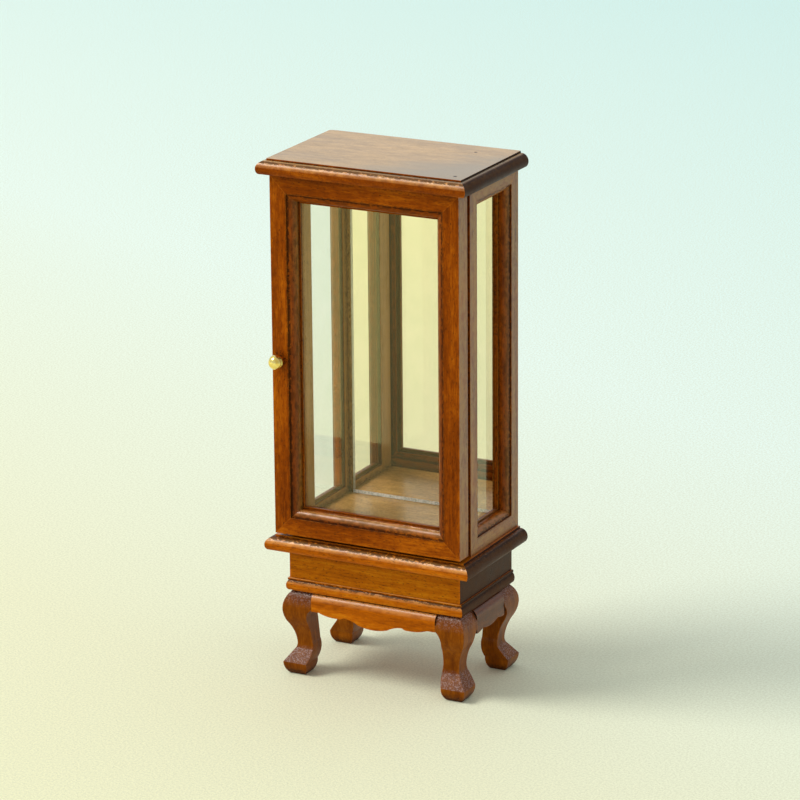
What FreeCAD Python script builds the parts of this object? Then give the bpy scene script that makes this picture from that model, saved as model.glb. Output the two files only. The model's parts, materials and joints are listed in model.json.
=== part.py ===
import FreeCAD, Part
import os
import Sketcher

from FreeCAD import Placement, Rotation, Vector

SHEET = "Sizes"
SIZES = {
    "total_height": 150.0, "door_face": -16.75, "back_plane": 20.25,
    # moulded boards
    "board_thick": 4.2, "edge_inset": 2.3, "edge_fillet": 0.55, "edge_quirk": 0.4,
    "edge_under": 0.5, "edge_round": 2.2,
    "base_under": 0.35, "base_quirk": 0.55, "base_fillet": 0.8, "base_lip": 0.15,
    "top_reach": 31.7, "top_front": 2.45, "worn_corner": 4.5,
    "waist_reach": 31.55, "waist_front": 1.3, "waist_top": 41.9,
    "base_top": 28.6, "base_thick": 3.6, "base_reach": 27.5, "base_front": 3.5,
    # mitred frames
    "door_thick": 5.2, "quirk_depth": 0.45, "quirk_width": 0.25, "lip_width": 0.6,
    "pane_depth": 3.9, "pane_thick": 0.8, "rebate": 1.0, "pane_play": 0.2,
    "bead_round": 2.2, "bead_end": 0.35, "lip_depth": 3.05,
    "door_width": 57.3, "door_foot": 42.8, "door_height": 102.6,
    "door_member": 7.8, "door_flat": 4.9,
    "side_reach": 28.6, "side_start": 6.9, "side_depth": 30.1, "side_thick": 4.7,
    "side_member": 6.8, "side_flat": 4.3, "left_set_in": 1.0,
    # inside
    "back_thick": 3.3, "mirror_thick": 0.5, "mirror_play": 1.4, "floor_thick": 3.8,
    # box below the waist
    "box_reach": 26.6, "box_front": 4.2, "box_wall": 3.0,
    "strip_out": 1.25, "strip_tall": 1.9, "strip_round": 1.35, "strip_lip": 0.3,
    # legs and aprons
    "leg_height": 25.0, "leg_block": 9.0, "leg_reach": 28.4, "leg_front": 2.7,
    "leg_rear": 38.0, "leg_sole_in": 1.45, "leg_toe": 3.6, "leg_ankle": 9.0,
    "leg_ankle_in": 3.05, "leg_calf": 14.7, "leg_calf_in": 1.45, "leg_knee": 19.6,
    "leg_brow": 2.6, "leg_back": 7.4, "leg_nip": 0.3, "leg_nip_drop": 1.6, "leg_nip_round": 3.0,
    "leg_curve": 14.0, "leg_shoulder": 0.6, "leg_hollow_rise": 1.3, "leg_hollow_round": 4.2,
    "leg_heel_step": 0.4, "leg_heel_in": 0.2, "leg_heel_round": 9.0,
    "leg_sole_back": 1.3, "leg_sole_round": 5.0,
    "apron_thick": 3.0, "apron_out": 0.6, "apron_tall": 5.2, "apron_round": 2.6,
    "lobe_small": 0.9, "lobe_return": 0.45, "lobe_large": 1.8,
    "lobe_large_half": 4.6, "lobe_small_start": 9.2, "lobe_small_end": 11.2, "sweep_end": 2.4,
    "lobe_large_round": 15.5, "lobe_return_round": 9.0, "lobe_small_round": 2.5, "sweep_round": 14.0,
    "side_apron_tall": 7.1, "side_cusp": 0.6, "side_cusp_place": 4.6,
    "cusp_round": 14.0, "side_sweep_round": 10.0,
    # fittings
    "knob_radius": 2.13, "knob_stand": 2.37, "knob_from_edge": 2.4, "knob_height": 93.2,
    "knob_flange": 1.3, "knob_neck": 0.9, "knob_flange_thick": 0.4,
    "shank_radius": 0.5, "shank_deep": 3.0,
    "pin_radius": 0.5, "pin_length": 6.5, "pin_play": 0.05, "pin_end_play": 0.1, "pin_in_door": 1.9,
    "pin_from_edge": 2.6, "pin_depth": 3.3,
    "brad_radius": 0.45, "brad_reach": 19.1, "brad_depth": 30.1,
}

doc = FreeCAD.newDocument("cabinet")
sheet = doc.addObject("Spreadsheet::Sheet", SHEET)
for row, (alias, value) in enumerate(SIZES.items(), start=1):
    sheet.set("A%d" % row, alias)
    sheet.set("B%d" % row, str(value))
    sheet.setAlias("B%d" % row, alias)
doc.recompute()


def expression(text):
    """Write {alias} as a reference to the sheet."""
    return str(text).replace("{", SHEET + ".").replace("}", "")


def number(text):
    """Present value of an expression over the sheet."""
    return float(sheet.evalExpression(str(text).replace("{", "").replace("}", "")))


def bind(target, **values):
    for name, text in values.items():
        target.setExpression(name.replace("__", "."), expression(text))


def place(target, x="0", y="0", z="0", rotation=Rotation()):
    target.Placement = Placement(Vector(number(x), number(y), number(z)), rotation)
    bind(target, Placement__Base__x=x, Placement__Base__y=y, Placement__Base__z=z)


def new_body(label):
    body = doc.addObject("PartDesign::Body", label)
    body.Label = label
    return body


def new_sketch(body, name, role):
    sketch = body.newObject("Sketcher::SketchObject", body.Name + "_" + name)
    plane = [item for item in body.Origin.OriginFeatures if item.Role == role][0]
    sketch.AttachmentSupport = [(plane, "")]
    sketch.MapMode = "FlatFace"
    return sketch


def arc_between(start, end, radius):
    """Arc of signed radius: positive turns left on the way from start to end."""
    chord = end - start
    middle = (start + end) * 0.5
    rise = (radius ** 2 - (chord.Length / 2) ** 2) ** 0.5
    left = Vector(-chord.y, chord.x, 0).normalize()
    centre = middle + left * (rise if radius > 0 else -rise)
    first, last = (start, end) if radius > 0 else (end, start)
    axis = Vector(1, 0, 0)
    turn = Vector(0, 0, 1)
    angles = [axis.getAngle(tip - centre) * (1 if turn.dot(axis.cross(tip - centre)) >= 0 else -1)
              for tip in (first, last)]
    return Part.ArcOfCircle(Part.Circle(centre, turn, abs(radius)), angles[0], angles[1])


def tie(sketch, kind, items, text):
    """Add a dimension to a sketch and drive it from the sheet."""
    index = sketch.addConstraint(Sketcher.Constraint(kind, *items, number(text)))
    name = "size%d" % index
    sketch.renameConstraint(index, name)
    sketch.setExpression("Constraints." + name, expression(text))


def trace(sketch, corners):
    """Closed outline of corners (x, y) or (x, y, radius of the arc that arrives there)."""
    points = [Vector(number(corner[0]), number(corner[1]), 0) for corner in corners]
    ends = []
    for index, corner in enumerate(corners):
        start, end = points[index - 1], points[index]
        if len(corner) == 3:
            radius = number(corner[2])
            item = sketch.addGeometry(arc_between(start, end, radius), False)
            ends.append((item, 1, 2) if radius > 0 else (item, 2, 1))
            tie(sketch, "Radius", (item,), "abs(%s)" % corner[2])
        else:
            ends.append((sketch.addGeometry(Part.LineSegment(start, end), False), 1, 2))
    for index, (item, start, end) in enumerate(ends):
        following = ends[(index + 1) % len(ends)]
        sketch.addConstraint(Sketcher.Constraint("Coincident", item, end, following[0], following[1]))
        for kind, axis, value, text in (("DistanceX", -2, points[index].x, corners[index][0]),
                                        ("DistanceY", -1, points[index].y, corners[index][1])):
            if abs(value) < 1e-9:
                sketch.addConstraint(Sketcher.Constraint("PointOnObject", item, end, axis))
            else:
                tie(sketch, kind, (-1, 1, item, end), text)


def ring(sketch, x, y, radius):
    """Circle with its centre and radius driven from the sheet."""
    centre = Vector(number(x), number(y), 0)
    item = sketch.addGeometry(Part.Circle(centre, Vector(0, 0, 1), number(radius)), False)
    tie(sketch, "Radius", (item,), radius)
    for kind, axis, value, text in (("DistanceX", -2, centre.x, x), ("DistanceY", -1, centre.y, y)):
        if abs(value) < 1e-9:
            sketch.addConstraint(Sketcher.Constraint("PointOnObject", item, 3, axis))
        else:
            tie(sketch, kind, (-1, 1, item, 3), text)


def pad(body, sketch, length, symmetric=False):
    feature = body.newObject("PartDesign::Pad", sketch.Name + "_pad")
    feature.Profile = sketch
    feature.SideType = "Symmetric" if symmetric else "One side"
    feature.Length = number(length)
    bind(feature, Length=length)
    sketch.Visibility = False
    return feature


def cut(body, sketch, length):
    """Pocket that runs half its length to each side of the sketch."""
    feature = body.newObject("PartDesign::Pocket", sketch.Name + "_cut")
    feature.Profile = sketch
    feature.SideType = "Symmetric"
    feature.Length = number(length)
    bind(feature, Length=length)
    sketch.Visibility = False
    return feature


def drill(body, name, role, x, y, radius, length, offset="0"):
    """Round hole to both sides of an origin plane, or of one parallel to it."""
    sketch = new_sketch(body, name, role)
    sketch.AttachmentOffset = Placement(Vector(0, 0, number(offset)), Rotation())
    bind(sketch, AttachmentOffset__Base__z=offset)
    ring(sketch, x, y, radius)
    return cut(body, sketch, length)


def board_edge(reach, thick):
    """Ovolo edge, from the underside up to the top."""
    return [
        ("%s - {edge_under}" % reach, "0"),
        ("%s - {edge_inset} + {edge_quirk}" % reach, "%s - {edge_fillet}" % thick, "{edge_round}"),
        ("%s - {edge_inset}" % reach, "%s - {edge_fillet}" % thick),
        ("%s - {edge_inset}" % reach, thick),
    ]


def base_edge(reach, thick):
    """Small fillet over a shallow ovolo, from the underside up to the top."""
    return [
        ("%s - {base_under}" % reach, "0"),
        ("%s - {base_quirk}" % reach, "%s - {base_fillet}" % thick, "{edge_round}"),
        ("%s - {base_under}" % reach, "%s - {base_fillet} + {base_lip}" % thick),
        ("%s - {base_under}" % reach, "%s - {base_lip}" % thick),
        ("%s - {base_quirk}" % reach, thick),
    ]


def other_side(corners):
    """Same outline mirrored in x = 0 and walked the other way round."""
    arrivals = [corner[2:] for corner in corners[1:]] + [()]
    return [("-(%s)" % corner[0], corner[1]) + arrival
            for corner, arrival in zip(reversed(corners), reversed(arrivals))]


def moulded_board(label, edge, reach, front, bottom, thick):
    """Board moulded on its front and both ends, with a flush back."""
    body = new_body(label)
    ends = new_sketch(body, "ends", "XZ_Plane")
    trace(ends, edge(reach, thick) + other_side(edge(reach, thick)))
    depth = "({back_plane} - (%s))" % front
    pad(body, ends, depth, symmetric=True)
    nose = new_sketch(body, "nose", "YZ_Plane")
    beyond = "-(%s / 2 + 1)" % depth
    profile = other_side(edge("%s / 2" % depth, thick))
    trace(nose, [(profile[0][0], "%s + 1" % thick)] + profile
          + [(profile[-1][0], "-1"), (beyond, "-1"), (beyond, "%s + 1" % thick)])
    cut(body, nose, "4 * %s" % reach)
    place(body, y="({back_plane} + (%s)) / 2" % front, z=bottom)
    return body


def mitre(body, width, length, start=True, end=True):
    """Cut one or both ends of a piece that runs along z to 45 degrees."""
    sketch = new_sketch(body, "mitres", "XZ_Plane")
    if start:
        trace(sketch, [("-1", "-1"), ("%s + 1" % width, "-1"), ("%s + 1" % width, "%s + 1" % width)])
    if end:
        trace(sketch, [("-1", "%s + 1" % length), ("%s + 1" % width, "%s + 1" % length),
                       ("%s + 1" % width, "%s - %s - 1" % (length, width))])
    cut(body, sketch, "4 * {door_thick}")


def frame_member(label, width, thick, flat, length):
    """Frame moulding along z: outer edge at x = 0, face at y = 0, mitred ends."""
    body = new_body(label)
    section = new_sketch(body, "section", "XY_Plane")
    sight, rebate = "%s - {lip_width}" % width, "%s - {rebate}" % width
    trace(section, [
        ("0", "0"), (flat, "0"), (flat, "{quirk_depth}"),
        ("%s + {quirk_width}" % flat, "{quirk_depth}"),
        (sight, "{lip_depth} - {bead_end}", "{bead_round}"), (sight, "{lip_depth}"),
        (width, "{lip_depth}"), (width, "{pane_depth}"), (rebate, "{pane_depth}"),
        (rebate, thick), ("0", thick),
    ])
    pad(body, section, length)
    mitre(body, width, length)
    return body


def slab(label, wide, deep, tall):
    """Plain rectangular piece with its low corner at the origin."""
    body = new_body(label)
    plan = new_sketch(body, "plan", "XY_Plane")
    trace(plan, [("0", "0"), (wide, "0"), (wide, deep), ("0", deep)])
    pad(body, plan, tall)
    return body


def glazed_frame(names, corner, along, size, member, thick, flat):
    """Four mitred members round a pane; along is the direction of the frame's width."""
    x, y, z = corner
    wide, tall = size
    turn = Rotation(Vector(1, 0, 0), along)

    def put(piece, across, up, spin, inward="0"):
        place(piece, rotation=turn.multiply(Rotation(Vector(0, 1, 0), spin)),
              x="%s + %d * (%s) - %d * (%s)" % (x, along.x, across, along.y, inward),
              y="%s + %d * (%s) + %d * (%s)" % (y, along.y, across, along.x, inward),
              z="%s + %s" % (z, up))
        return piece

    low, high, top, bottom, glass = names
    inset = "(%s - {rebate} + {pane_play})" % member
    return [
        put(frame_member(low, member, thick, flat, tall), "0", "0", 0),
        put(frame_member(high, member, thick, flat, tall), wide, tall, 180),
        put(frame_member(top, member, thick, flat, wide), "0", tall, 90),
        put(frame_member(bottom, member, thick, flat, wide), wide, "0", -90),
        put(slab(glass, "%s - 2 * %s" % (wide, inset), "{pane_thick}", "%s - 2 * %s" % (tall, inset)),
            inset, inset, 0, "{pane_depth}"),
    ]


def box_panel(label, outline, x="0", y="0"):
    """Upright panel of the box, drawn in plan."""
    body = new_body(label)
    plan = new_sketch(body, "plan", "XY_Plane")
    trace(plan, outline)
    pad(body, plan, "{waist_top} - {board_thick} - {base_top}")
    place(body, x=x, y=y, z="{base_top}")
    return body


def strip(label, length, axes, x, y, start, end):
    """Small rounded strip under the waist board, drawn with its outer edge at x = 0."""
    body = new_body(label)
    section = new_sketch(body, "section", "XY_Plane")
    trace(section, [("0", "0"), ("{strip_out}", "0"), ("{strip_out}", "{strip_tall}"),
                    ("0", "{strip_lip}", "{strip_round}")])
    pad(body, section, length)
    mitre(body, "{strip_out}", length, start, end)
    place(body, x=x, y=y, z="{waist_top} - {board_thick}", rotation=Rotation(*axes, "XYZ"))
    return body


def swell(inset, rise):
    """Radius of an arc that leaves its far end upright after this inset and rise."""
    return "((%s)^2 + (%s)^2) / (2 * (%s))" % (inset, rise, inset)


def leg_outline():
    """Outer then inner edge of a leg, x measured outward from the middle of its block."""
    out = lambda inset: "{leg_block} / 2 - (%s)" % inset
    outer = [(out("{leg_sole_in}"), "0"),
             (out("0"), "{leg_toe}", swell("{leg_sole_in}", "{leg_toe}")),
             (out("{leg_ankle_in} - {leg_nip}"), "{leg_ankle} - {leg_nip_drop}"),
             (out("{leg_ankle_in}"), "{leg_ankle}", "-{leg_nip_round}"),
             (out("{leg_calf_in}"), "{leg_calf}", "-{leg_curve}"),
             (out("0"), "{leg_knee}", swell("{leg_calf_in}", "{leg_knee} - {leg_calf}")),
             (out("{leg_brow}"), "{leg_height}", swell("{leg_brow}", "{leg_height} - {leg_knee}"))]
    inner = [("-({leg_block} / 2)", "{leg_height}"),
             ("-({leg_block} / 2)", "{leg_knee} + {leg_shoulder}"),
             (out("{leg_back}"), "{leg_calf} + {leg_hollow_rise}", "-{leg_hollow_round}"),
             (out("{leg_back} + {leg_heel_step}"), "{leg_ankle} + {leg_shoulder}"),
             (out("{leg_back} - {leg_heel_in}"), "{leg_toe}", "{leg_heel_round}"),
             (out("{leg_back} - {leg_sole_back}"), "0", "{leg_sole_round}")]
    return outer, inner


def leg(label, x, y, turn):
    """Leg sawn to the same outline from two faces; it points outward along +x and -y."""
    body = new_body(label)
    outer, inner = leg_outline()
    front = new_sketch(body, "front", "XZ_Plane")
    trace(front, outer + inner)
    pad(body, front, "{leg_block} + 2", symmetric=True)
    side = new_sketch(body, "side", "YZ_Plane")
    flipped = other_side(outer)
    beyond = "-({leg_block} / 2 + 2)"
    trace(side, [(beyond, "{leg_height} + 1"), (flipped[0][0], "{leg_height} + 1")] + flipped
          + [(flipped[-1][0], "-1"), (beyond, "-1")])
    flipped = other_side(inner)
    behind = "{leg_block} / 2 + 2"
    trace(side, [(flipped[0][0], "-1")] + flipped
          + [(flipped[-1][0], "{leg_height} + 1"), (behind, "{leg_height} + 1"), (behind, "-1")])
    cut(body, side, "4 * {leg_block}")
    place(body, x=x, y=y, rotation=Rotation(Vector(0, 0, 1), turn))
    return body


def apron(label, length, outline, axes, x, y):
    """Shaped rail with a rounded top edge, drawn with its face at y = 0 and its top at z = 0."""
    body = new_body(label)
    face = new_sketch(body, "face", "XZ_Plane")
    trace(face, [("-%s / 2" % length, "0")] + other_side(outline) + outline
          + [("%s / 2" % length, "0")])
    feature = pad(body, face, "{apron_thick}")
    feature.Reversed = True
    brow = new_sketch(body, "brow", "YZ_Plane")
    trace(brow, [("-1", "1"), ("-1", "-{apron_round}"), ("0", "-{apron_round}"),
                 ("{apron_round}", "0", "-{apron_round}"), ("{apron_round}", "1")])
    cut(body, brow, "2 * %s" % length)
    place(body, x=x, y=y, z="{leg_height}", rotation=axes)
    return body


def front_apron_edge(length):
    """Right half of the scalloped edge, from the middle lobe to the end."""
    fall = lambda drop: "-({apron_tall} + %s)" % drop
    return [
        ("{lobe_large_half}", fall("{lobe_large}"), "{lobe_large_round}"),
        ("{lobe_small_start}", fall("{lobe_return}"), "-{lobe_return_round}"),
        ("{lobe_small_end}", fall("{lobe_small}"), "{lobe_small_round}"),
        ("%s / 2 - {sweep_end}" % length, fall("0"), "{sweep_round}"),
        ("%s / 2" % length, fall("0")),
    ]


def side_apron_edge(length):
    return [
        ("{side_cusp_place}", "-({side_apron_tall} - {side_cusp})", "{cusp_round}"),
        ("%s / 2" % length, "-{side_apron_tall}", "{side_sweep_round}"),
    ]


def rear_apron_edge(length):
    return [("%s / 2" % length, "-{apron_tall}")]


def knob(label):
    """Ball knob on a flange, with a shank that enters the stile."""
    body = new_body(label)
    half = new_sketch(body, "half", "XY_Plane")
    trace(half, [
        ("0", "{shank_deep}"), ("{shank_radius}", "{shank_deep}"), ("{shank_radius}", "0"),
        ("{knob_flange}", "0"), ("{knob_flange}", "-{knob_flange_thick}"),
        ("{knob_neck}", "-{knob_stand} + sqrt({knob_radius}^2 - {knob_neck}^2)"),
        ("0", "-{knob_stand} - {knob_radius}", "-{knob_radius}"),
    ])
    turned = body.newObject("PartDesign::Revolution", body.Name + "_turned")
    turned.Profile = half
    turned.ReferenceAxis = (half, ["V_Axis"])
    turned.Angle = 360
    half.Visibility = False
    place(body, x="-{door_width} / 2 + {knob_from_edge}", y="{door_face}", z="{knob_height}")
    return body


def round_pin(name, radius, length, x, y, z):
    pin = doc.addObject("Part::Cylinder", name)
    pin.Label = name
    bind(pin, Radius=radius, Height=length)
    place(pin, x, y, z)
    return pin


# ---- boards -------------------------------------------------------------------------------
HINGE_X = "({door_width} / 2 - {pin_from_edge})"
HINGE_Y = "({door_face} + {pin_depth})"
TOP_FRONT = "({door_face} - {top_front})"
WAIST_FRONT = "({door_face} - {waist_front})"
UNDER_TOP = "({total_height} - {board_thick})"

top_board = moulded_board("top_board", board_edge, "{top_reach}", TOP_FRONT, UNDER_TOP, "{board_thick}")
waist_board = moulded_board("waist_board", board_edge, "{waist_reach}", WAIST_FRONT,
                            "{waist_top} - {board_thick}", "{board_thick}")
base_board = moulded_board("base_moulding", base_edge, "{base_reach}", "{door_face} + {base_front}",
                           "{leg_height}", "{base_thick}")
drill(top_board, "hinge_bore", "XY_Plane", HINGE_X,
      "%s - ({back_plane} + %s) / 2" % (HINGE_Y, TOP_FRONT), "{pin_radius}", "3 * {board_thick}")
drill(top_board, "brad_bore", "XY_Plane", "{brad_reach}",
      "{door_face} + {brad_depth} - ({back_plane} + %s) / 2" % TOP_FRONT,
      "{brad_radius}", "3 * {board_thick}")
BOARD_BACK, CORNER = "({back_plane} - %s) / 2" % TOP_FRONT, "{worn_corner}"
corner = new_sketch(top_board, "corner", "XY_Plane")
trace(corner, [
    ("-{top_reach} + " + CORNER, BOARD_BACK),
    ("-{top_reach}", "%s - %s" % (BOARD_BACK, CORNER), CORNER),
    ("-{top_reach} - 1", "%s - %s" % (BOARD_BACK, CORNER)), ("-{top_reach} - 1", BOARD_BACK + " + 1"),
    ("-{top_reach} + " + CORNER, BOARD_BACK + " + 1"),
])
cut(top_board, corner, "3 * {board_thick}")
PIN_FOOT = "({door_foot} + {pin_in_door} - {pin_length})"
drill(waist_board, "hinge_bore", "XY_Plane", HINGE_X,
      "%s - ({back_plane} + %s) / 2" % (HINGE_Y, WAIST_FRONT), "{pin_radius}",
      "2 * ({waist_top} - %s)" % PIN_FOOT, offset="{board_thick}")
pieces = [top_board, waist_board, base_board]

# ---- door and side lights -----------------------------------------------------------------
door = glazed_frame(
    ["door_stile_left", "door_stile_right", "door_rail_top", "door_rail_bottom", "door_pane"],
    ("-{door_width} / 2", "{door_face}", "{door_foot}"), Vector(1, 0, 0),
    ("{door_width}", "{door_height}"), "{door_member}", "{door_thick}", "{door_flat}")
drill(door[0], "knob_bore", "XZ_Plane", "{knob_from_edge}", "{knob_height} - {door_foot}",
      "{shank_radius}", "2 * {shank_deep}")
for rail, along in ((door[2], "{door_width} - {pin_from_edge}"), (door[3], "{pin_from_edge}")):
    drill(rail, "hinge_bore", "YZ_Plane", "{pin_depth}", along, "{pin_radius} + {pin_play}",
          "2 * {pin_in_door} + 2 * {pin_end_play}")
pieces += door + [knob("door_knob")]

for hand, x, y, along in (
        ("right", "{side_reach}", "{door_face} + {side_start}", Vector(0, 1, 0)),
        ("left", "-({side_reach} - {left_set_in})", "{door_face} + {side_start} + {side_depth}",
         Vector(0, -1, 0))):
    low, high = ("front", "rear") if hand == "right" else ("rear", "front")
    pieces += glazed_frame(
        ["side_%s_stile_%s" % (hand, low), "side_%s_stile_%s" % (hand, high),
         "side_%s_rail_top" % hand, "side_%s_rail_bottom" % hand, "side_%s_pane" % hand],
        (x, y, "{waist_top}"), along, ("{side_depth}", "(%s - {waist_top})" % UNDER_TOP),
        "{side_member}", "{side_thick}", "{side_flat}")

# ---- inside and back ----------------------------------------------------------------------
INSIDE = "({side_reach} - {side_thick})"
LEFT_INSIDE = "(%s - {left_set_in})" % INSIDE
INSIDE_WIDTH = "(%s + %s)" % (INSIDE, LEFT_INSIDE)
FLOOR_TOP = "({waist_top} + {floor_thick})"
BACK_FRONT = "({back_plane} - {back_thick})"
floor_panel = slab("floor_panel", INSIDE_WIDTH, "{side_depth} - {back_thick}", "{floor_thick}")
place(floor_panel, "-" + LEFT_INSIDE, "{door_face} + {side_start}", "{waist_top}")
mirror = slab("mirror", "%s - 2 * {mirror_play}" % INSIDE_WIDTH, "{mirror_thick}",
              "%s - %s" % (UNDER_TOP, FLOOR_TOP))
place(mirror, "{mirror_play} - " + LEFT_INSIDE, BACK_FRONT + " - {mirror_thick}", FLOOR_TOP)
back_panel = slab("back_panel", INSIDE_WIDTH, "{back_thick}", "%s - {waist_top}" % UNDER_TOP)
place(back_panel, "-" + LEFT_INSIDE, BACK_FRONT, "{waist_top}")
pieces += [floor_panel, mirror, back_panel]

# ---- box and the strip over it ------------------------------------------------------------
BOX_FRONT = "({door_face} + {box_front})"
BOX_DEPTH = "({back_plane} - %s)" % BOX_FRONT
NARROW = "({box_reach} - {box_wall})"
SIDE_OUTLINE = [("0", "0"), ("{box_wall}", "{box_wall}"), ("{box_wall}", BOX_DEPTH), ("0", BOX_DEPTH)]
pieces += [
    box_panel("box_front", [("-{box_reach}", "0"), ("{box_reach}", "0"), (NARROW, "{box_wall}"),
                            ("-" + NARROW, "{box_wall}")], y=BOX_FRONT),
    box_panel("box_left", SIDE_OUTLINE, x="-{box_reach}", y=BOX_FRONT),
    box_panel("box_right", [("-" + x if x != "0" else x, y) for x, y in SIDE_OUTLINE],
              x="{box_reach}", y=BOX_FRONT),
    box_panel("box_back", [("-" + NARROW, "0"), (NARROW, "0"), (NARROW, "{box_wall}"),
                           ("-" + NARROW, "{box_wall}")], y="{back_plane} - {box_wall}"),
]
REACH = "({box_reach} + {strip_out})"
RUN = "(%s + {strip_out})" % BOX_DEPTH
UP, DOWN = Vector(0, 0, 1), Vector(0, 0, -1)
pieces += [
    strip("waist_strip_front", "2 * %s" % REACH, (Vector(0, 1, 0), DOWN, Vector(-1, 0, 0)),
          REACH, "%s - {strip_out}" % BOX_FRONT, True, True),
    strip("waist_strip_right", RUN, (Vector(-1, 0, 0), DOWN, Vector(0, -1, 0)),
          REACH, "{back_plane}", False, True),
    strip("waist_strip_left", RUN, (Vector(1, 0, 0), DOWN, Vector(0, 1, 0)),
          "-%s" % REACH, "%s - {strip_out}" % BOX_FRONT, True, False),
]

# ---- legs and aprons ----------------------------------------------------------------------
LEG_X = "({leg_reach} - {leg_block} / 2)"
LEG_FRONT = "({door_face} + {leg_front} + {leg_block} / 2)"
LEG_REAR = "({door_face} + {leg_rear} - {leg_block} / 2)"
pieces += [
    leg("leg_front_right", LEG_X, LEG_FRONT, 0), leg("leg_rear_right", LEG_X, LEG_REAR, 90),
    leg("leg_rear_left", "-" + LEG_X, LEG_REAR, 180), leg("leg_front_left", "-" + LEG_X, LEG_FRONT, 270),
]
WIDE = "(2 * ({leg_reach} - {leg_block}))"
DEEP = "({leg_rear} - {leg_front} - 2 * {leg_block})"
MIDDLE = "{door_face} + ({leg_front} + {leg_rear}) / 2"
SIDE_FACE = "({base_reach} + {apron_out})"
for name, length, edge, turn, x, y in (
        ("apron_front", WIDE, front_apron_edge, 0, "0", "{door_face} + {base_front} - {apron_out}"),
        ("apron_right", DEEP, side_apron_edge, 90, SIDE_FACE, MIDDLE),
        ("apron_rear", WIDE, rear_apron_edge, 180, "0", "{back_plane} + {apron_out}"),
        ("apron_left", DEEP, side_apron_edge, 270, "-" + SIDE_FACE, MIDDLE)):
    pieces.append(apron(name, length, edge(length), Rotation(UP, turn), x, y))

# ---- metal pins ---------------------------------------------------------------------------
pins = doc.addObject("Part::MultiFuse", "hinge_pins")
pins.Label = "hinge_pins"
pins.Shapes = [
    round_pin("upper_pin", "{pin_radius}", "{pin_length}", HINGE_X, HINGE_Y,
              "{total_height} - {pin_length}"),
    round_pin("lower_pin", "{pin_radius}", "{pin_length}", HINGE_X, HINGE_Y, PIN_FOOT),
]
brad = round_pin("top_brad", "{brad_radius}", "{board_thick}", "{brad_reach}",
                 "{door_face} + {brad_depth}", UNDER_TOP)
pieces += [pins, brad]

doc.recompute()
for item in doc.Objects:
    if "Invalid" in item.State or "Error" in item.State:
        raise RuntimeError("%s did not recompute: %s" % (item.Name, item.State))
os.makedirs("parts", exist_ok=True)
for piece in pieces:
    if piece.Shape.isNull() or not piece.Shape.isValid():
        raise RuntimeError("%s has no valid shape" % piece.Label)
    piece.Shape.exportStep("parts/%s.step" % piece.Label)
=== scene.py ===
import json
import math
from collections import namedtuple

import bpy
from mathutils import Matrix, Vector


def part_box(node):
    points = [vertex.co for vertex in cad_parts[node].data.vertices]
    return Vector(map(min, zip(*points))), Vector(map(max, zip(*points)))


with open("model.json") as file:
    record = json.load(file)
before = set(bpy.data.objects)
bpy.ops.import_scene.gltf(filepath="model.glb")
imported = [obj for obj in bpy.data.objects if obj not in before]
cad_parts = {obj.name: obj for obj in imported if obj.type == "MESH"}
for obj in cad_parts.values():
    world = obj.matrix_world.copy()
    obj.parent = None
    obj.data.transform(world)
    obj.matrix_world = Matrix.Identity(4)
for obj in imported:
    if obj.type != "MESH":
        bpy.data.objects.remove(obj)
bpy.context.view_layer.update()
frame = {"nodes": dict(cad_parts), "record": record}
MM = 0.001


def rgb(red, green, blue):
    """Linear colour from 0 to 255 screen values."""
    linear = [((v / 255 + 0.055) / 1.055) ** 2.4 if v > 10 else v / 255 / 12.92
              for v in (red, green, blue)]
    return (*linear, 1.0)


# ---- small helpers for node trees ---------------------------------------------------------
class Tree:
    """Short-hand for building one material's nodes.

    In add(), an argument named i0, i1 and so on fills the input of that number, and any other
    argument fills the input of its own name."""

    def __init__(self, name):
        self.material = bpy.data.materials.new(name)
        self.material.use_nodes = True
        self.nodes = self.material.node_tree.nodes
        self.links = self.material.node_tree.links
        self.nodes.clear()
        self.output = self.nodes.new("ShaderNodeOutputMaterial")

    def plug(self, socket, value):
        if isinstance(value, bpy.types.NodeSocket):
            self.links.new(value, socket)
        elif value is not None:
            socket.default_value = value

    def add(self, kind, settings=None, **inputs):
        node = self.nodes.new("ShaderNode" + kind)
        for key, value in (settings or {}).items():
            setattr(node, key, value)
        for key, value in inputs.items():
            name = key.replace("_", " ")
            numbered = name[0] == "i" and name[1:].isdigit()
            self.plug(node.inputs[int(name[1:]) if numbered else name], value)
        return node

    def math(self, operation, a, b=None, clamp=False):
        node = self.add("Math", {"operation": operation, "use_clamp": clamp}, i0=a, i1=b)
        return node.outputs[0]

    def plus(self, a, b):
        return self.math("ADD", a, b)

    def times(self, a, b):
        return self.math("MULTIPLY", a, b)

    def most(self, a, b):
        return self.math("MAXIMUM", a, b)

    def opposite(self, value):
        return self.math("SUBTRACT", 1.0, value)

    def scale(self, value, low, high, to_low=0.0, to_high=1.0):
        node = self.add("MapRange", {"clamp": True}, Value=value)
        for key, number in (("From Min", low), ("From Max", high), ("To Min", to_low),
                            ("To Max", to_high)):
            self.plug(node.inputs[key], number)
        return node.outputs["Result"]

    def mix(self, factor, a, b):
        node = self.add("Mix", {"data_type": "RGBA"})
        self.plug(node.inputs["Factor"], factor)
        self.plug(node.inputs[6], a)
        self.plug(node.inputs[7], b)
        return node.outputs[2]

    def noise(self, place, scale, detail=2.0, rough=0.5, distortion=0.0):
        node = self.add("TexNoise", Vector=place, Scale=scale, Detail=detail, Roughness=rough,
                        Distortion=distortion)
        return node.outputs["Fac"]

    def split(self, vector):
        return self.add("SeparateXYZ", Vector=vector).outputs

    def object_place(self):
        return self.add("TexCoord").outputs["Object"]

    def finish(self, shader):
        self.links.new(shader, self.output.inputs["Surface"])
        return self.material


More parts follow.
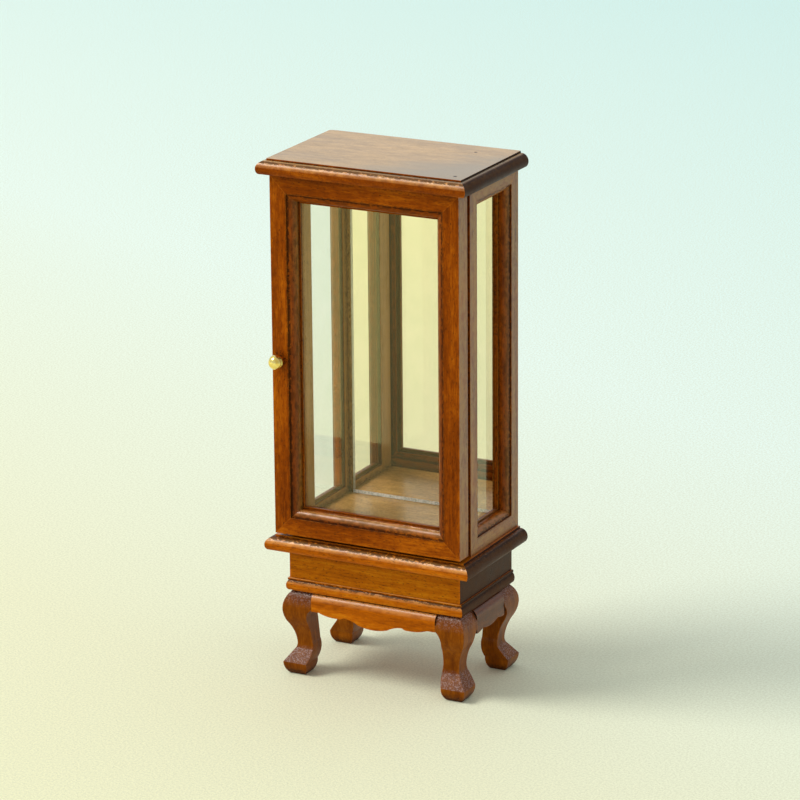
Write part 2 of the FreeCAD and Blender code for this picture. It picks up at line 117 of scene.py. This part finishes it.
# ---- wood ---------------------------------------------------------------------------------
# Palettes run from dark to light.
CASE = (rgb(92, 34, 0), rgb(138, 62, 0), rgb(186, 98, 6))
# painted light: a brighter copy of the case wood for the waist board, base moulding and front
# aprons, standing in for the strong light that falls on them
LIT_GOLD = (rgb(128, 56, 0), rgb(184, 94, 2), rgb(216, 130, 16))
LEG = (rgb(88, 36, 2), rgb(130, 66, 4), rgb(162, 92, 14))
SHADY = (rgb(62, 24, 4), rgb(98, 44, 6), rgb(132, 66, 12))
BOX = (rgb(124, 62, 0), rgb(176, 94, 0), rgb(208, 128, 10))
INNER = (rgb(160, 112, 54), rgb(202, 150, 80), rgb(230, 182, 108))
# painted sheen: the pale tan of the top face stands in for the bright backdrop it reflects at a
# low angle; the patch is a greyer part of it towards the front right
PALE_TOP_SHEEN = (rgb(152, 118, 68), rgb(220, 176, 114))
TOP_PATCH = rgb(160, 140, 110)
END_STAIN = rgb(44, 20, 4)
# lacquer rubbed thin on the arrises, lightened also as a painted highlight
RUBBED_AND_HIGHLIGHT = rgb(206, 112, 22)
# painted sheen: a pale tan on faces that turn sideways, for the pale backdrop they reflect
SIDE_SHEEN_TAN = rgb(160, 120, 52)
# painted highlight on rounded parts that turn upward
UPTURN_HIGHLIGHT = rgb(240, 174, 90)
PEEL_SHADE = rgb(74, 32, 14)
# painted glints: pale specks on what faces up on the legs
PEEL_PAINTED_GLINT = rgb(180, 152, 146)
PORE_COLOUR = (0.012, 0.004, 0.002, 1)
# stain in the grooves, with painted shade there and where parts come close
STAIN_AND_SHADE_COLOUR = (0.022, 0.005, 0.002, 1)
LACQUER_TINT = (1.0, 0.8, 0.5, 1.0)

# A range is where a mask starts and where it is full.
TONE_RANGE = (0.4, 0.72)
UPWARD = (0.12, 0.75)           # the next three are parts of the normal along an axis
SQUARE_ON = (0.9, 0.98)
SIDEWAYS = (0.5, 0.98)
OPEN_TO_TIGHT = (1.0, 0.0)      # what a mask of ambient occlusion runs through

END_DEPTH = 0.92
STAIN_AND_SHADE_REACH = 2.6 * MM
ARRIS_REACH = 0.5 * MM
PATCH_SLANT = 1.1
PATCH_WOBBLE = 12 * MM
PATCH_RANGE = (12 * MM, 30 * MM)
QUIRK_CORE, QUIRK_REACH, BEAD_REACH = 0.1 * MM, 0.75 * MM, 0.5 * MM
SPECULAR_LEVEL = 0.08
COAT_ROUGHNESS = 0.24

# The one face of a piece that looks different: which way it faces, its two tones, its sheen and
# the colour of a greyer patch on it.
PlainFace = namedtuple("PlainFace", "axis side tones sheen patch")
# A groove beside a moulding: the axis across it, where it lies, and the side of it the bead is on.
Quirk = namedtuple("Quirk", "axis place bead")


class Wood(Tree):
    """Wood with its grain along an axis of the frame, and the masks that its staining, rubbed
    arrises, painted highlights and painted shade follow.
    """

    def __init__(self, name, axis, seed, streak, pore_scale):
        super().__init__(name)
        coordinates = self.add("TexCoord")
        self.here = coordinates.outputs["Object"]
        self.place = self.split(self.here)
        self.facing = self.split(coordinates.outputs["Normal"])
        self.along = "XYZ".index(axis)
        self.offset = (0.37 * seed, 0.61 * seed, 0.83 * seed)
        self.fibre = self.noise(self.grain(streak), 2600, 3, 0.6)
        self.band = self.noise(self.grain(streak / 2), 420, 3, 0.55, 0.4)
        self.blotch = self.noise(self.grain(0.35), 110, 3, 0.55)
        self.mottle = self.noise(self.grain(0.6), 750, 3, 0.6)
        self.pore = self.noise(self.grain(max(0.22, 2 * streak)), pore_scale, 1, 0.4)
        shares = ((self.fibre, 0.28), (self.band, 0.32), (self.blotch, 0.3), (self.mottle, 0.2))
        parts = [self.times(noise, share) for noise, share in shares]
        self.tone = self.scale(self.plus(self.plus(parts[0], parts[1]),
                                         self.plus(parts[2], parts[3])), *TONE_RANGE)
        self.upward = self.scale(self.facing["Z"], *UPWARD)
        self.flank = self.math("ABSOLUTE", self.facing["X"])

    def grain(self, stretch):
        """Object coordinates stretched along the grain, so 1 leaves them as they are."""
        scale = [stretch if i == self.along else 1 for i in range(3)]
        return self.add("Mapping", Vector=self.here, Location=self.offset,
                        Scale=scale).outputs["Vector"]

    def stained(self, palette):
        ramp = self.add("ValToRGB", Fac=self.tone)
        ramp.color_ramp.elements[0].color = palette[0]
        ramp.color_ramp.elements[1].color = palette[2]
        ramp.color_ramp.elements.new(0.5).color = palette[1]
        return ramp.outputs["Color"]

    def upturn_highlight_mask(self, strength):
        """Painted highlight on rounded parts that turn upward, but not the flat tops."""
        rounded = self.times(self.upward, self.scale(self.facing["Z"], *SQUARE_ON, *OPEN_TO_TIGHT))
        return self.times(rounded, self.scale(self.mottle, 0.35, 0.6, 0.4 * strength, strength))

    def side_sheen_mask(self, strength):
        """Painted sheen on faces that turn sideways, in uneven bands."""
        bands = self.plus(self.band, self.math("SUBTRACT", self.mottle, 0.5))
        uneven = self.scale(bands, 0.3, 0.65, 0.35 * strength, 1.25 * strength)
        return self.times(self.scale(self.flank, *SIDEWAYS), uneven)

    def plain_face(self, face):
        """Mask of the face and its colour."""
        mask = self.scale(self.times(self.facing[face.axis], face.side), *SQUARE_ON)
        colour = self.mix(self.tone, *face.tones)
        if face.patch:
            reach = self.math("SUBTRACT", self.times(self.place["X"], PATCH_SLANT),
                              self.place["Y"])
            reach = self.plus(reach, self.scale(self.blotch, 0.3, 0.7, -PATCH_WOBBLE,
                                                PATCH_WOBBLE))
            colour = self.mix(self.scale(reach, *PATCH_RANGE), colour, face.patch)
        return mask, colour

    def groove_shade_and_stain(self, local):
        """Staining and painted shade in the grooves, breaking up into stained specks and smoky
        painted shade beside them.

        local keeps it away from where other pieces come close."""
        groove = self.add("AmbientOcclusion", {"samples": 8, "only_local": local},
                          Distance=STAIN_AND_SHADE_REACH).outputs["AO"]
        specks = self.scale(self.noise(self.here, 1900, 2, 0.6), 0.5, 0.58)
        groove_shade = self.times(self.scale(groove, 0.3, 0.72, *OPEN_TO_TIGHT), 0.4 if local else 0.75)
        beside = self.times(self.scale(groove, 0.62, 0.9, *OPEN_TO_TIGHT), specks)
        smoky = self.times(self.scale(groove, 0.6, 1.0, *OPEN_TO_TIGHT),
                           self.scale(self.mottle, 0.45, 0.6, 0.0, 0.6))
        return self.most(self.most(groove_shade, smoky), self.times(beside, 0.85))

    def quirk_shade_and_stain(self, quirk):
        """Dotted dark line along a groove and mottling on the bead beside it, partly stained
        specks and partly painted shade.
        """
        past = self.math("SUBTRACT", self.place[quirk.axis], quirk.place)
        near = self.scale(self.math("ABSOLUTE", past), QUIRK_CORE, QUIRK_REACH, *OPEN_TO_TIGHT)
        dots = self.plus(self.noise(self.grain(0.6), 1500, 2, 0.6), self.times(near, 0.14))
        dots = self.times(self.scale(dots, 0.5, 0.6), near)
        dots = self.math("MULTIPLY", dots, 1.5, clamp=True)
        bead = self.scale(self.times(past, quirk.bead), 0.0, BEAD_REACH)
        bead = self.times(bead, self.scale(self.mottle, 0.42, 0.62, 0.0, 0.6))
        return self.most(bead, self.times(dots, 0.8))

    def rubbing_and_highlight(self, end_grain):
        """Arrises on which the lacquer is rubbed thin, and lightened there as a painted highlight.
        """
        edge = self.add("AmbientOcclusion", {"samples": 6, "inside": True, "only_local": True},
                        Distance=ARRIS_REACH).outputs["AO"]
        rubbed = self.times(self.scale(edge, 0.35, 0.75, *OPEN_TO_TIGHT),
                            self.scale(self.mottle, 0.4, 0.6, 0.1, 0.75))
        return self.times(rubbed, self.opposite(end_grain))

    def relief(self, radius, pore_mask):
        """Normal with soft arrises, fibres, uneven lacquer and sunk pores."""
        soft = self.add("Bevel", {"samples": 4}, Radius=radius).outputs["Normal"]
        height = self.plus(self.times(self.fibre, 0.5),
                           self.times(self.noise(self.here, 1100, 3, 0.6), 0.7))
        height = self.math("SUBTRACT", height, self.times(pore_mask, 0.5))
        return self.add("Bump", Strength=0.4, Distance=0.07 * MM, Height=height,
                        Normal=soft).outputs["Normal"]


def wood(name, axis, seed, palette, gloss=0.32, arris=0.18 * MM, streak=0.12, pores=0.6,
         pore_scale=4400, pore_range=(0.64, 0.72), ends=(0.12, 0.5), upturn_highlight=0.0, side_sheen=0.0,
         peel=False, plain=None, quirk=None, local=False):
    """Stained, lacquered wood.

    gloss is its middle roughness and arris the radius of its edges. A lower streak makes longer
    grain. pores is how dark the pores are, pore_scale how fine and pore_range how many. ends is
    the range of the normal that counts as end grain. worn paints a highlight on rounded parts that
    turn upward and faded paints a pale tan sheen on the faces that turn sideways. peel puts
    orange-peel lacquer on what faces up: darker, with painted glints. plain is a PlainFace, quirk
    a Quirk, and local is as in Wood.groove_shade_and_stain."""
    tree = Wood(name, axis, seed, streak, pore_scale)
    colour = tree.stained(palette)
    # painted highlight on rounded parts that turn upward
    if upturn_highlight:
        colour = tree.mix(tree.upturn_highlight_mask(upturn_highlight), colour, UPTURN_HIGHLIGHT)
    # painted sheen on the faces that turn sideways
    if side_sheen:
        colour = tree.mix(tree.side_sheen_mask(side_sheen), colour, SIDE_SHEEN_TAN)
    if plain:
        face, plain_colour = tree.plain_face(plain)
        colour = tree.mix(face, colour, plain_colour)

    # end grain drinks more stain
    end_grain = tree.scale(tree.math("ABSOLUTE", tree.facing[tree.along]), *ends)
    colour = tree.mix(tree.times(end_grain, END_DEPTH), colour, END_STAIN)
    pore_mask = tree.scale(tree.pore, *pore_range)
    colour = tree.mix(tree.times(pore_mask, pores), colour, PORE_COLOUR)
    # staining and painted shade in grooves, along quirks and where parts come close
    stain_and_shade = tree.groove_shade_and_stain(local)
    if quirk:
        marks = tree.quirk_shade_and_stain(quirk)
        if plain:
            marks = tree.times(marks, tree.opposite(face))
        stain_and_shade = tree.most(stain_and_shade, marks)
    colour = tree.mix(stain_and_shade, colour, STAIN_AND_SHADE_COLOUR)
    # arrises: lacquer rubbed thin, lightened also as a painted highlight
    colour = tree.mix(tree.rubbing_and_highlight(end_grain), colour, RUBBED_AND_HIGHLIGHT)

    # the lacquer lies thickest on what faces upward or to a side, and sinks into dark stain and
    # painted shade
    sheen = tree.most(tree.upward, tree.times(tree.flank, 0.55 if side_sheen else 0.7))
    if plain:
        sheen = tree.most(sheen, tree.times(face, plain.sheen))
    # orange-peel lacquer on what faces up: a stronger coat at the glints, a darker tone, and pale
    # painted glints in the colour
    if peel:
        glints = tree.scale(tree.noise(tree.here, 2500, 1, 0.5), 0.52, 0.6)
        glints = tree.times(tree.upward, glints)
        sheen = tree.most(tree.times(sheen, 0.5), glints)
        colour = tree.mix(tree.times(tree.upward, 0.5), colour, PEEL_SHADE)
        colour = tree.mix(tree.times(glints, 0.4), colour, PEEL_PAINTED_GLINT)
    sunk = tree.most(tree.times(end_grain, 0.97), tree.times(stain_and_shade, 0.9))

    rough = tree.scale(tree.plus(tree.blotch, tree.times(tree.fibre, 0.5)), 0.5, 1.0,
                       gloss - 0.08, gloss + 0.14)
    shader = tree.add("BsdfPrincipled", Base_Color=colour, Roughness=rough,
                      Normal=tree.relief(arris, pore_mask),
                      Coat_Weight=tree.times(sheen, tree.opposite(sunk)))
    shader.inputs["Specular Tint"].default_value = LACQUER_TINT
    shader.inputs["Specular IOR Level"].default_value = SPECULAR_LEVEL
    shader.inputs["Coat Roughness"].default_value = COAT_ROUGHNESS
    return tree.finish(shader.outputs[0])


# ---- metal and glass ----------------------------------------------------------------------
GLASS_TINTS = ((0.965, 0.97, 0.945, 1), (0.985, 0.98, 0.965, 1))
GLASS_REFLECTION = (1.0, 0.93, 0.6, 1)
GLASS_IOR = 1.5
PANE_FACES = 1.5                # a pane's two faces reflect about this much more than one
SILVER = ((0.94, 0.92, 0.85, 1), (0.98, 0.96, 0.9, 1))
# painted highlight: pale specks along the mirror's foot, for the bright floor it reflects
FOOT_PAINTED_GLINTS = ((0.55, 0.6, 0.6, 1), (1.0, 1.0, 1.0, 1))
SIDE_GLINTS = ((0.42, 0.42, 0.33, 1), (0.6, 0.6, 0.5, 1))
FOOT_LINE, SIDE_LINE = 0.95 * MM, 0.7 * MM
SIDE_STRENGTH = 0.8
BRASS = (rgb(240, 206, 100), rgb(255, 240, 160))
STEEL = ((0.02, 0.014, 0.01, 1), (0.09, 0.07, 0.055, 1))


def brass():
    tree = Tree("brass")
    here = tree.object_place()
    cloud = tree.noise(here, 700, 3)
    bump = tree.add("Bump", Strength=0.15, Distance=0.03 * MM, Height=tree.noise(here, 2500, 3))
    shader = tree.add("BsdfPrincipled", Base_Color=tree.mix(tree.scale(cloud, 0.35, 0.65), *BRASS),
                      Roughness=tree.scale(cloud, 0.3, 0.7, 0.1, 0.24),
                      Normal=bump.outputs["Normal"])
    shader.inputs["Metallic"].default_value = 1.0
    return tree.finish(shader.outputs[0])


def dark_steel():
    tree = Tree("dark_steel")
    cloud = tree.noise(tree.object_place(), 1500, 3)
    shader = tree.add("BsdfPrincipled", Base_Color=tree.mix(cloud, *STEEL),
                      Roughness=tree.scale(cloud, 0.3, 0.7, 0.35, 0.6))
    shader.inputs["Metallic"].default_value = 0.8
    return tree.finish(shader.outputs[0])


def clear_glass():
    """Thin pane: mostly a straight view through, with a reflection over it."""
    tree = Tree("clear_glass")
    haze = tree.noise(tree.object_place(), 160, 3)
    hazy = tree.scale(haze, 0.3, 0.7)
    through = tree.add("BsdfTransparent", Color=tree.mix(hazy, *GLASS_TINTS))
    bump = tree.add("Bump", Strength=0.02, Distance=0.05 * MM, Height=haze)
    mirror = tree.add("BsdfGlossy", Color=GLASS_REFLECTION, Normal=bump.outputs["Normal"],
                      Roughness=tree.scale(haze, 0.3, 0.7, 0.01, 0.04))
    entering = tree.opposite(tree.add("NewGeometry").outputs["Backfacing"])
    both_faces = tree.math("MULTIPLY", tree.add("Fresnel", IOR=GLASS_IOR).outputs[0], PANE_FACES,
                           clamp=True)
    pane = tree.add("MixShader", Fac=tree.times(both_faces, entering), i1=through.outputs[0],
                    i2=mirror.outputs[0])
    return tree.finish(pane.outputs[0])


def mirror_glass():
    """Silvered sheet. Its cut edge shows pale painted glints along the foot, a painted highlight
    for the bright floor it reflects, and shows dull along the left side.
    """
    tree = Tree("mirror_glass")
    here = tree.object_place()
    haze = tree.noise(here, 200, 3)
    silver = tree.add("BsdfPrincipled", Base_Color=tree.mix(haze, *SILVER),
                      Roughness=tree.scale(haze, 0.3, 0.7, 0.0, 0.02))
    silver.inputs["Metallic"].default_value = 1.0
    spark = tree.scale(tree.noise(here, 2200, 2), 0.4, 0.55)
    # painted highlight along the foot edge
    foot_edge = tree.add("BsdfPrincipled", Base_Color=tree.mix(spark, *FOOT_PAINTED_GLINTS), Roughness=0.3)
    side_edge = tree.add("BsdfPrincipled", Base_Color=tree.mix(spark, *SIDE_GLINTS), Roughness=0.5)
    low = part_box("mirror")[0]
    place = tree.split(here)
    foot = tree.math("LESS_THAN", place["Z"], low[2] + FOOT_LINE)
    side = tree.math("LESS_THAN", place["X"], low[0] + SIDE_LINE)
    sheet = tree.add("MixShader", Fac=tree.times(side, SIDE_STRENGTH), i1=silver.outputs[0],
                     i2=side_edge.outputs[0])
    sheet = tree.add("MixShader", Fac=foot, i1=sheet.outputs[0], i2=foot_edge.outputs[0])
    return tree.finish(sheet.outputs[0])


# ---- which material each node takes -------------------------------------------------------
BOARD_QUIRK, BASE_QUIRK = 0.75 * MM, 0.8 * MM
DOOR_FLAT, SIDE_FLAT = 5.1 * MM, 4.5 * MM
# For each frame member: how its name ends, the axis across it, and the side its bead is on.
BEADS = (("stile_left", "X", 1.0), ("stile_right", "X", -1.0), ("bottom", "Z", 1.0),
         ("rail_top", "Z", -1.0), ("stile_front", "Y", 1.0), ("stile_rear", "Y", -1.0))


def grain_axis(node):
    low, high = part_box(node)
    size = [high[i] - low[i] for i in range(3)]
    return "XYZ"[size.index(max(size))]


def quirk_of(node):
    """Where the groove beside a moulding runs, from the edges of the node's own box."""
    low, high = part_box(node)
    if node in ("top_board", "waist_board"):
        return Quirk("Z", high[2] - BOARD_QUIRK, 0.0)
    if node == "base_moulding":
        return Quirk("Z", high[2] - BASE_QUIRK, 0.0)
    flat = DOOR_FLAT if node.startswith("door_") else SIDE_FLAT
    for ending, axis, bead in BEADS:
        if node.endswith(ending):
            index = "XYZ".index(axis)
            return Quirk(axis, low[index] + flat if bead > 0 else high[index] - flat, bead)
    return None


def wood_for(node, seed):
    name = "wood_" + node
    axis = grain_axis(node)
    quirk = quirk_of(node)
    if node.startswith("leg_"):
        return wood(name, "Z", seed, LEG, gloss=0.38, arris=0.45 * MM, pores=0.3,
                    ends=(0.9, 0.99), peel=True)
    if node in ("apron_left", "apron_right"):
        return wood(name, axis, seed, SHADY, gloss=0.34, arris=0.3 * MM, pores=0.35)
    # painted light: the front aprons take the brighter palette for the strong light on them
    if node.startswith("apron_"):
        return wood(name, axis, seed, LIT_GOLD, gloss=0.34, arris=0.3 * MM, pores=0.35, upturn_highlight=0.6)
    if node.startswith("box_"):
        return wood(name, "X", seed, BOX, pores=0.8, streak=0.06)
    if node == "floor_panel":
        return wood(name, "X", seed, INNER, gloss=0.45, pores=0.5, streak=0.6, pore_scale=2400,
                    pore_range=(0.55, 0.66))
    if node == "back_panel":
        return wood(name, "Z", seed, INNER, gloss=0.45, pores=0.5, streak=0.2)
    # painted light: these mouldings take the brighter palette for the strong light on them
    if node in ("waist_board", "base_moulding"):
        return wood(name, "X", seed, LIT_GOLD, gloss=0.36, upturn_highlight=0.8, quirk=quirk, local=True)
    # painted sheen: the top face takes pale tan tones for the backdrop it reflects
    if node == "top_board":
        return wood(name, "X", seed, CASE, gloss=0.36, streak=0.6, upturn_highlight=0.8, quirk=quirk,
                    local=True, plain=PlainFace("Z", 1.0, PALE_TOP_SHEEN, 1.0, TOP_PATCH))
    if node.startswith("side_"):
        inward = 1.0 if "left" in node else -1.0
        return wood(name, axis, seed, CASE, upturn_highlight=0.3, side_sheen=0.5, quirk=quirk,
                    plain=PlainFace("X", inward, INNER[:2], 0.3, None))
    return wood(name, axis, seed, CASE, upturn_highlight=0.5, side_sheen=0.5, quirk=quirk)


FINISHES = {"brass": brass(), "steel_pin": dark_steel(), "clear_glass": clear_glass(),
            "mirror_glass": mirror_glass()}
slots = {part["node"]: part["material_slot"] for part in frame["record"]["subparts"]}
for seed, (node, piece) in enumerate(sorted(frame["nodes"].items()), start=1):
    piece.data.materials.clear()
    piece.data.materials.append(FINISHES.get(slots[node]) or wood_for(node, seed))


# ---- floor, light and camera --------------------------------------------------------------
FLOOR_HALF = 6.0
FLOOR_SLANT = 0.45
FLOOR_DEPTH = (-0.5, 1.0)
FLOOR_FRONT, FLOOR_BACK = rgb(250, 246, 188), rgb(212, 255, 255)
FLOOR_BETWEEN = ((0.3, rgb(242, 241, 205)), (0.5, rgb(238, 255, 246)))
FLOOR_SHADE = rgb(206, 208, 178)
KEY = {"place": (-1.9, -1.2, 2.5), "aim": (0, 0, 0.06), "size": 1.6, "power": 67.0,
       "colour": (1.0, 0.98, 0.95)}
SKY_COLOUR = (0.93, 0.97, 1.0, 1)
SKY_LEFT, SKY_RIGHT = 0.82, 0.54
CAMERA = {"azimuth": 27.16, "elevation": 17.06, "roll": -0.48, "distance": 1.1416,
          "aim": (0.00428, -0.00425, 0.0823), "lens": 186.66}
SENSOR_WIDTH = 36.0
CLIP = (0.05, 50.0)


def floor_material():
    """Pale paper: yellow in front, turning to pale cyan behind and to the right."""
    tree = Tree("pale_floor")
    here = tree.object_place()
    place = tree.split(here)
    depth = tree.plus(place["Y"], tree.times(place["X"], FLOOR_SLANT))
    ramp = tree.add("ValToRGB", Fac=tree.scale(depth, *FLOOR_DEPTH))
    ramp.color_ramp.elements[0].color = FLOOR_FRONT
    ramp.color_ramp.elements[1].color = FLOOR_BACK
    for stop, colour in FLOOR_BETWEEN:
        ramp.color_ramp.elements.new(stop).color = colour
    grain = tree.noise(here, 1500, 3, 0.8)
    bump = tree.add("Bump", Strength=0.6, Distance=0.2 * MM, Height=grain)
    shader = tree.add("BsdfPrincipled", Roughness=0.9, Normal=bump.outputs["Normal"],
                      Base_Color=tree.mix(tree.scale(grain, 0.4, 0.6, 0.0, 0.5),
                                          ramp.outputs["Color"], FLOOR_SHADE))
    shader.inputs["Specular IOR Level"].default_value = 0.1
    return tree.finish(shader.outputs[0])


def add_floor():
    mesh = bpy.data.meshes.new("floor")
    corners = ((-1, -1), (1, -1), (1, 1), (-1, 1))
    mesh.from_pydata([(x * FLOOR_HALF, y * FLOOR_HALF, 0) for x, y in corners], [],
                     [(0, 1, 2, 3)])
    floor = bpy.data.objects.new("floor", mesh)
    floor.data.materials.append(floor_material())
    bpy.context.scene.collection.objects.link(floor)


def add_key_light():
    lamp = bpy.data.lights.new("key", "AREA")
    lamp.shape = "DISK"
    lamp.size = KEY["size"]
    lamp.energy = KEY["power"]
    lamp.color = KEY["colour"]
    holder = bpy.data.objects.new("key", lamp)
    holder.location = KEY["place"]
    holder.rotation_mode = "QUATERNION"
    ray = Vector(KEY["aim"]) - Vector(KEY["place"])
    holder.rotation_quaternion = ray.to_track_quat("-Z", "Y")
    bpy.context.scene.collection.objects.link(holder)


def add_sky():
    """Even light all round, stronger from the left."""
    world = bpy.data.worlds.new("studio")
    bpy.context.scene.world = world
    world.use_nodes = True
    nodes, links = world.node_tree.nodes, world.node_tree.links
    sky = nodes["Background"]
    sky.inputs["Color"].default_value = SKY_COLOUR
    direction = nodes.new("ShaderNodeTexCoord")
    split = nodes.new("ShaderNodeSeparateXYZ")
    fade = nodes.new("ShaderNodeMapRange")
    for key, value in (("From Min", -1.0), ("From Max", 1.0), ("To Min", SKY_LEFT),
                       ("To Max", SKY_RIGHT)):
        fade.inputs[key].default_value = value
    links.new(direction.outputs["Generated"], split.inputs[0])
    links.new(split.outputs["X"], fade.inputs["Value"])
    links.new(fade.outputs["Result"], sky.inputs["Strength"])


def place_camera():
    azimuth, elevation = (math.radians(CAMERA[key]) for key in ("azimuth", "elevation"))
    away = Vector((math.sin(azimuth) * math.cos(elevation),
                   -math.cos(azimuth) * math.cos(elevation), math.sin(elevation)))
    data = bpy.data.cameras.new("camera")
    data.lens = CAMERA["lens"]
    data.sensor_width = SENSOR_WIDTH
    data.clip_start, data.clip_end = CLIP
    camera = bpy.data.objects.new("camera", data)
    turn = away.to_track_quat("Z", "Y").to_matrix().to_4x4()
    turn = turn @ Matrix.Rotation(math.radians(CAMERA["roll"]), 4, "Z")
    spot = Vector(CAMERA["aim"]) + away * CAMERA["distance"]
    camera.matrix_world = Matrix.Translation(spot) @ turn
    bpy.context.scene.collection.objects.link(camera)
    bpy.context.scene.camera = camera


add_floor()
add_key_light()
add_sky()
place_camera()
bpy.context.scene.view_settings.view_transform = "Standard"
